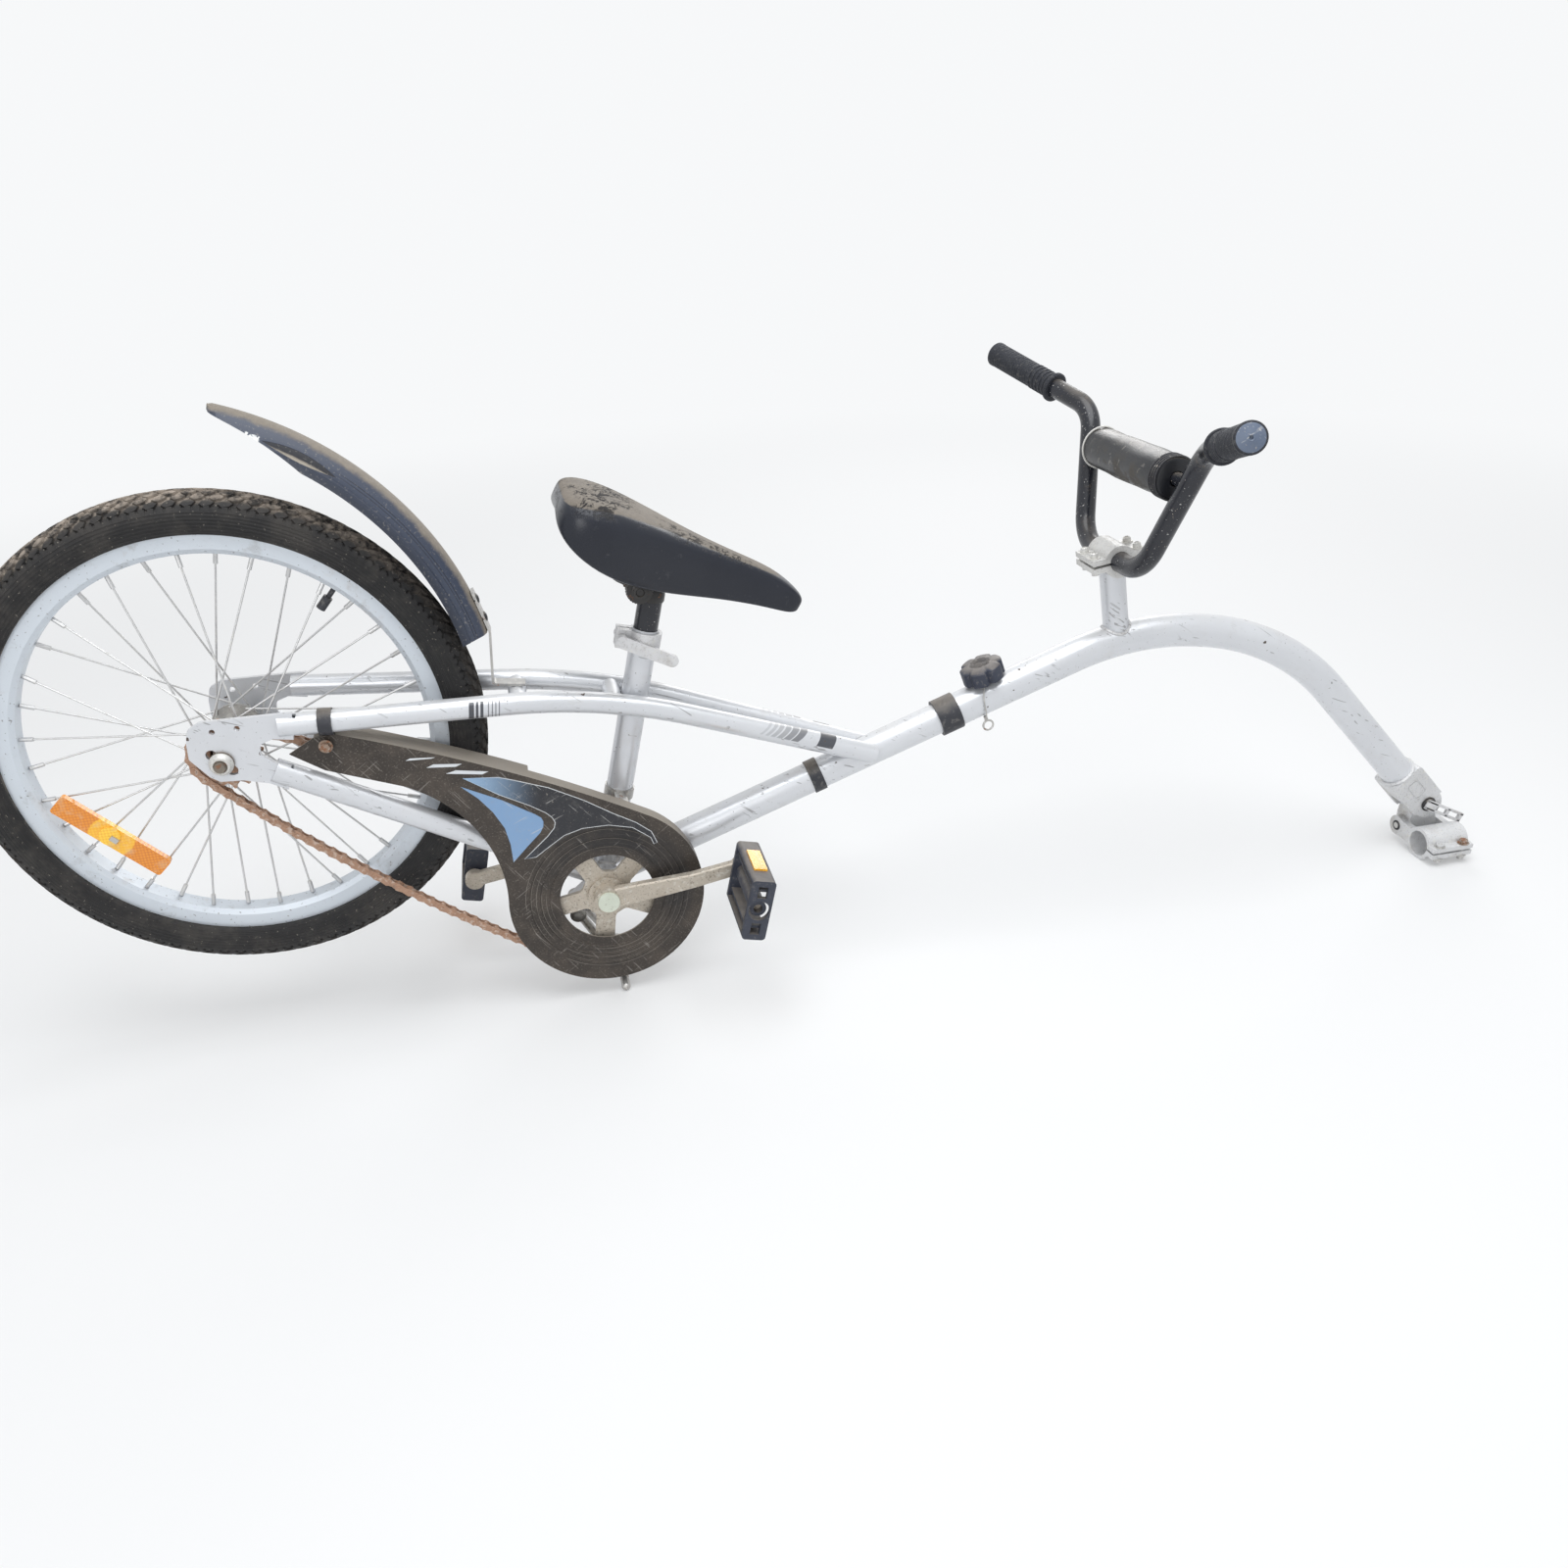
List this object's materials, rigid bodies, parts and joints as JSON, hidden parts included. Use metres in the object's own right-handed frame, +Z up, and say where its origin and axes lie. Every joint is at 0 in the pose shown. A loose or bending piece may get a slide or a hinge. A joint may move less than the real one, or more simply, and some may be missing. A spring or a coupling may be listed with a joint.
{
  "type": "trailer bike",
  "caption": "Child's trailer bike with one wheel, arched boom, seat-post hitch, pedals, chain guard, mudguard, saddle and padded handlebar, on its stand.",
  "frame": {"origin": "centre of the bottom of the whole bike's bounding box, on the floor it stands on", "axes": "+X forward to the hitch, +Y to the rider's left, +Z up"},
  "size_m": [1.6864, 0.5932, 0.6588],
  "materials": {
    "silver_paint": "satin silver paint, dusty",
    "black_paint": "worn gloss black paint",
    "black_steel": "black with rust",
    "tyre": "dusty black rubber",
    "rim": "matt grey-blue aluminium",
    "steel": "plated steel, a little rust",
    "rusty_steel": "rusty steel",
    "guard_plastic": "scuffed black plastic",
    "mudguard_plastic": "faded dark grey plastic",
    "saddle_vinyl": "black vinyl",
    "pad_fabric": "worn black cover",
    "grip_rubber": "black rubber",
    "black_plastic": "black plastic",
    "amber": "amber reflector",
    "cast_alloy": "cast aluminium, white oxide",
    "white_cap": "dirty white plastic"
  },
  "bodies": {
    "frame": {"axle": "steel", "seat_tube": "silver_paint", "main_tube": "silver_paint", "bottom_bracket": "silver_paint", "bridges": "silver_paint", "front_boom": "silver_paint", "boom_collar": "black_plastic", "boom_knob": "black_plastic", "lock_pin": "steel", "handlebar_post": "silver_paint", "bar_clamp": "cast_alloy", "handlebar": "black_paint", "crossbar_pad": "pad_fabric", "seat_clamp": "steel", "mudguard": "mudguard_plastic", "mudguard_bracket": "steel", "chain_guard": "guard_plastic", "guard_bracket": "steel", "guard_strap": "black_plastic", "frame_strap": "black_plastic", "chain": "rusty_steel", "stand_bracket": "silver_paint", "hitch_fork": "cast_alloy", "dropout_right": "silver_paint", "dropout_left": "silver_paint", "upper_stay_right": "silver_paint", "upper_stay_left": "silver_paint", "chainstay_right": "silver_paint", "chainstay_left": "silver_paint", "grip_left": "grip_rubber", "grip_right": "grip_rubber"},
    "wheel": {"tyre": "tyre", "rim": "rim", "hub": "steel", "spokes": "steel", "sprocket": "rusty_steel", "wheel_reflector": "amber", "valve": "black_plastic"},
    "crank": {"chainring": "steel", "spindle": "steel", "crank_right": "cast_alloy", "crank_left": "cast_alloy", "crank_caps": "white_cap"},
    "right_pedal": {"pedal_right": "black_plastic", "pedal_reflectors_right": "amber"},
    "left_pedal": {"pedal_left": "black_plastic", "pedal_reflectors_left": "amber"},
    "stand": {"centre_stand": "steel"},
    "seat": {"seat_post": "black_paint", "saddle_clamp": "black_steel", "saddle_rails": "black_steel", "saddle": "saddle_vinyl"},
    "link": {"hitch_link": "cast_alloy", "hitch_skewer": "steel"},
    "clamp": {"hitch_clamp": "cast_alloy"}
  },
  "joints": [
    {"name": "wheel_roll", "type": "hinge", "parent": "frame", "child": "wheel", "pos_m": [-0.59463, 0, 0.33768], "axis": [0, 1, 0], "continuous": true},
    {"name": "crank_turn", "type": "hinge", "parent": "frame", "child": "crank", "pos_m": [-0.2474, 0, 0.12468], "axis": [0, 1, 0], "continuous": true},
    {"name": "right_pedal_turn", "type": "hinge", "parent": "crank", "child": "right_pedal", "pos_m": [-0.10241, -0.067, 0.14894], "axis": [0, 1, 0], "continuous": true},
    {"name": "left_pedal_turn", "type": "hinge", "parent": "crank", "child": "left_pedal", "pos_m": [-0.39238, 0.067, 0.10042], "axis": [0, 1, 0], "continuous": true},
    {"name": "stand_fold", "type": "hinge", "parent": "frame", "child": "stand", "pos_m": [-0.28124, 0, 0.08864], "axis": [0, 1, 0], "range_deg": [0, 100]},
    {"name": "saddle_height", "type": "slide", "parent": "frame", "child": "seat", "axis": [0.2472, 0, 0.969], "range_m": [-0.024, 0.11]},
    {"name": "hitch_pitch", "type": "hinge", "parent": "frame", "child": "link", "pos_m": [0.79236, 0, 0.06095], "axis": [0, -1, 0], "range_deg": [-20, 100]},
    {"name": "hitch_yaw", "type": "hinge", "parent": "link", "child": "clamp", "pos_m": [0.79636, 0, 0.02395], "axis": [1, 0, 0], "range_deg": [0, 171]}
  ]
}
